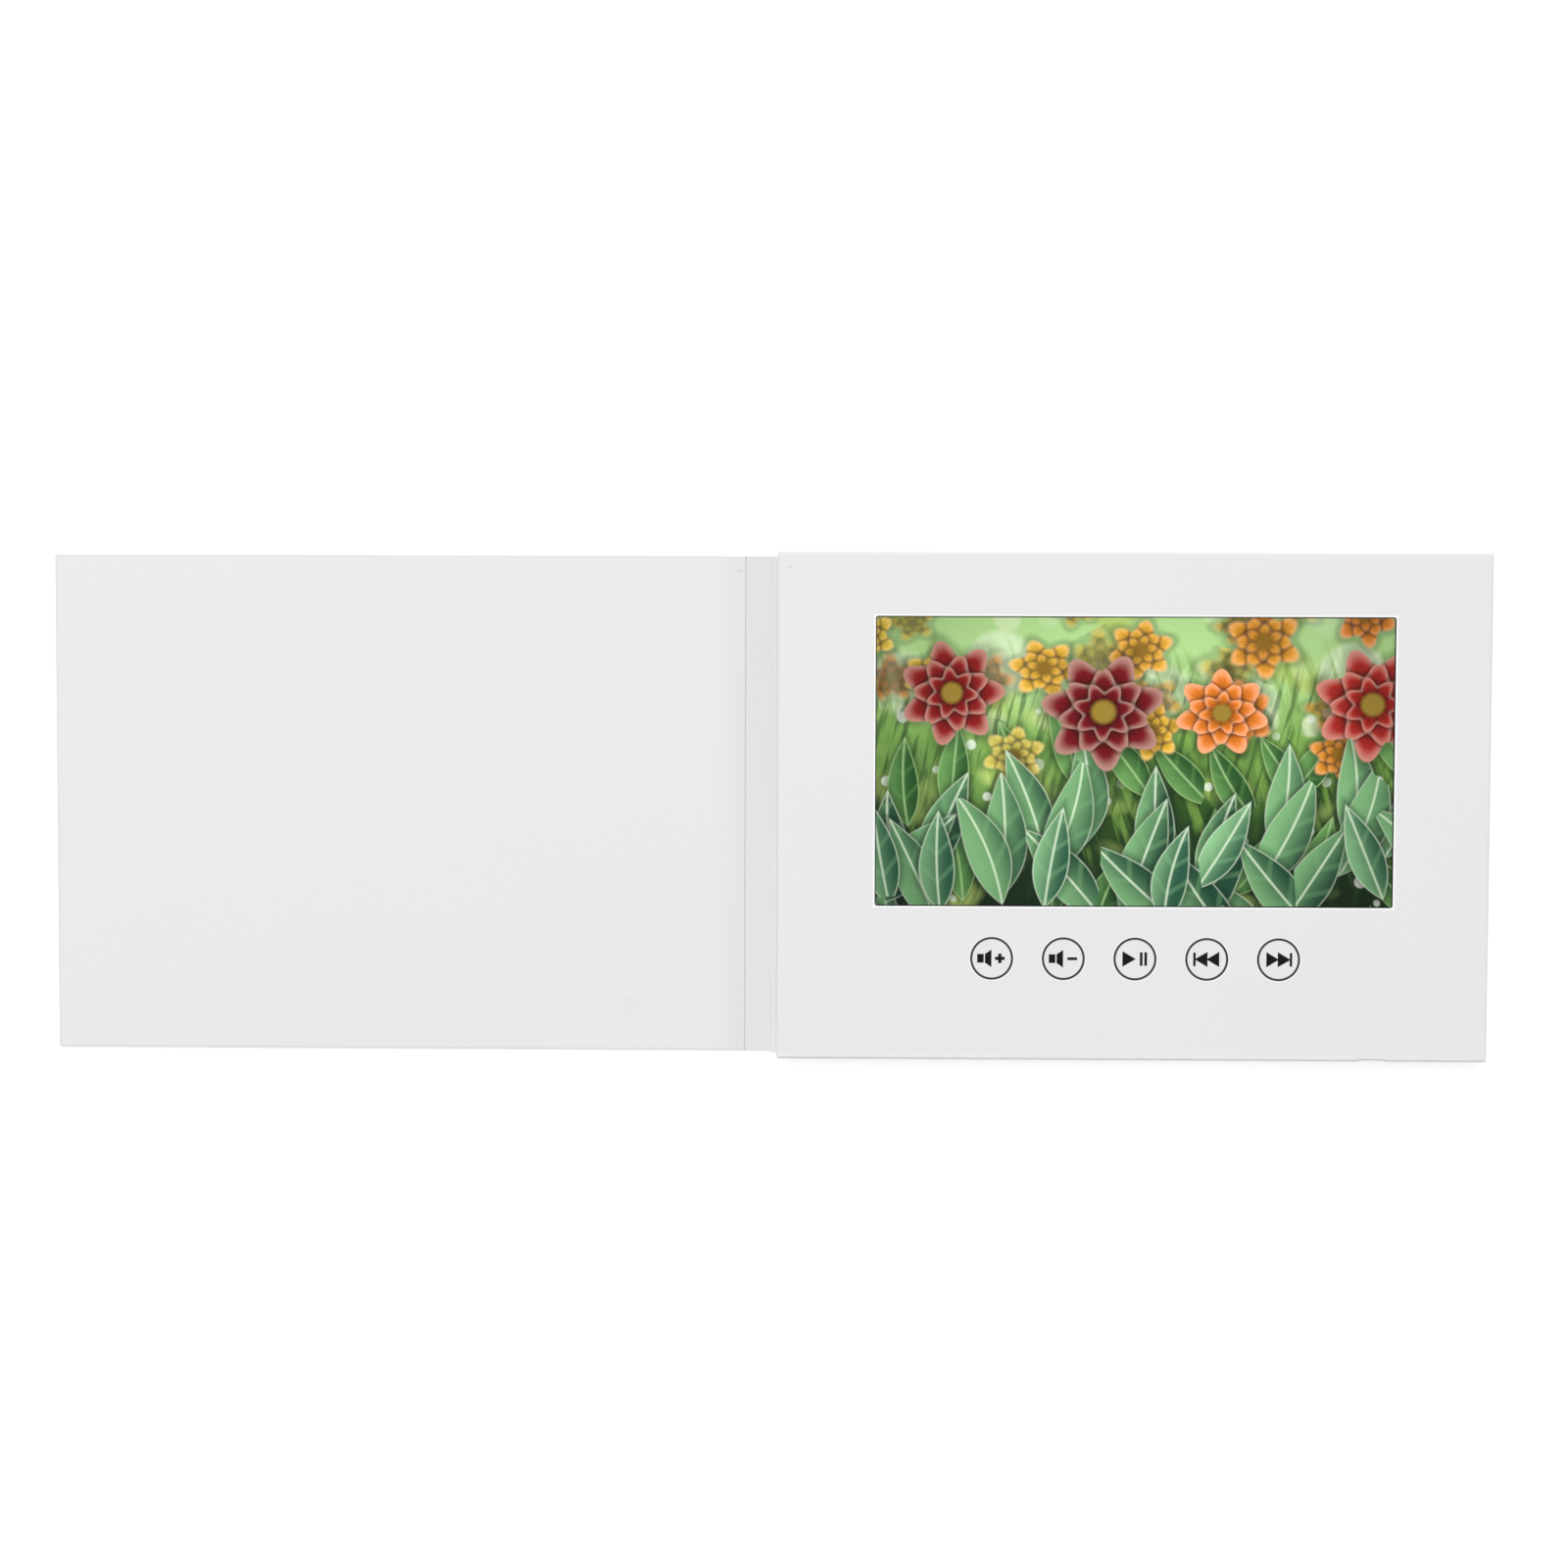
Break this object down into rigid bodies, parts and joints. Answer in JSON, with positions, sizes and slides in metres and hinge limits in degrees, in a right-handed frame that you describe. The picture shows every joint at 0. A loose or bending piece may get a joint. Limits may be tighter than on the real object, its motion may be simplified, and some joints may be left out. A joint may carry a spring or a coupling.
{
  "type": "video brochure",
  "caption": "Open card brochure whose wrapped cover and spine fold over a player block with a display window, push keys, battery, speaker and charging socket.",
  "frame": {"origin": "centre of the open brochure's outline in plan, at the surface that it lies on", "axes": "+X along the open brochure from the cover to the player block, +Y up the page, +Z out of the page to the reader"},
  "size_m": [0.426, 0.15, 0.0105],
  "materials": {
    "wrap_paper": "matt laminated",
    "liner_paper": "matt laminated",
    "tray_card": "matt laminated",
    "grey_board": "raw",
    "filler_card": "raw",
    "magnet": "plated",
    "steel": "satin",
    "screen": "glossy",
    "glass": "polished",
    "dark_film": "glossy",
    "pale_film": "satin",
    "clear_plastic": "polished",
    "lamps": "satin",
    "pale_plastic": "satin",
    "ribbon_film": "satin",
    "cable_film": "satin",
    "circuit_board": "glossy",
    "chip_black": "matt",
    "coil_grey": "matt",
    "part_tan": "matt",
    "pouch_foil": "satin",
    "tape": "satin",
    "lead_rubber": "satin",
    "speaker_plastic": "matt",
    "cone_paper": "matt",
    "gasket_foam": "matt",
    "key_white": "matt",
    "plunger_black": "satin"
  },
  "bodies": {
    "player_block": {"back_wrap": "wrap_paper", "back_board": "grey_board", "face_tray": "tray_card", "tray_lower_foot": "tray_card", "tray_lower_wall": "tray_card", "lower_filler": "filler_card", "upper_filler": "filler_card", "display_tape": "tape", "display_bezel": "steel", "front_polarizer": "screen", "front_glass": "glass", "rear_glass": "glass", "driver_chip": "chip_black", "rear_polarizer": "dark_film", "light_films": "pale_film", "light_guide": "clear_plastic", "reflector_sheet": "pale_film", "lamp_bar": "lamps", "display_frame": "pale_plastic", "display_back_plate": "steel", "display_ribbon": "ribbon_film", "player_board": "circuit_board", "board_chips": "chip_black", "power_coil": "coil_grey", "crystal": "steel", "chip_parts": "part_tan", "board_sockets": "pale_plastic", "usb_shell": "steel", "usb_tongue": "chip_black", "lead_plugs": "pale_plastic", "battery_cell": "pouch_foil", "battery_guard": "circuit_board", "battery_tape": "tape", "battery_leads": "lead_rubber", "speaker_basket": "speaker_plastic", "speaker_cone": "cone_paper", "speaker_magnet": "magnet", "speaker_gasket": "gasket_foam", "speaker_leads": "lead_rubber", "key_board": "circuit_board", "switch_bases": "chip_black", "magnet_sensor": "chip_black", "key_ribbon": "cable_film"},
    "spine": {"spine_wrap": "wrap_paper", "spine_board": "grey_board", "spine_liner": "liner_paper"},
    "cover": {"cover_wrap": "wrap_paper", "cover_board": "grey_board", "cover_liner": "liner_paper", "cover_magnet": "magnet"},
    "volume_up": {"volume_up_key": "key_white", "volume_up_plunger": "plunger_black"},
    "volume_down": {"volume_down_key": "key_white", "volume_down_plunger": "plunger_black"},
    "play": {"play_key": "key_white", "play_plunger": "plunger_black"},
    "previous": {"previous_key": "key_white", "previous_plunger": "plunger_black"},
    "next": {"next_key": "key_white", "next_plunger": "plunger_black"}
  },
  "joints": [
    {"name": "spine_fold", "type": "hinge", "parent": "player_block", "child": "spine", "pos_m": [0.00275, 0, 0.00165], "axis": [0, 1, 0], "range_deg": [0, 90]},
    {"name": "cover_fold", "type": "hinge", "parent": "spine", "child": "cover", "pos_m": [-0.00655, 0, 0.00165], "axis": [0, 1, 0], "range_deg": [0, 90]},
    {"name": "volume_up_press", "type": "slide", "parent": "player_block", "child": "volume_up", "axis": [0, 0, -1], "range_m": [0, 0.00025], "stiffness_N_per_m": 1200, "springref_m": -0.0005},
    {"name": "volume_down_press", "type": "slide", "parent": "player_block", "child": "volume_down", "axis": [0, 0, -1], "range_m": [0, 0.00025], "stiffness_N_per_m": 1200, "springref_m": -0.0005},
    {"name": "play_press", "type": "slide", "parent": "player_block", "child": "play", "axis": [0, 0, -1], "range_m": [0, 0.00025], "stiffness_N_per_m": 1200, "springref_m": -0.0005},
    {"name": "previous_press", "type": "slide", "parent": "player_block", "child": "previous", "axis": [0, 0, -1], "range_m": [0, 0.00025], "stiffness_N_per_m": 1200, "springref_m": -0.0005},
    {"name": "next_press", "type": "slide", "parent": "player_block", "child": "next", "axis": [0, 0, -1], "range_m": [0, 0.00025], "stiffness_N_per_m": 1200, "springref_m": -0.0005}
  ]
}
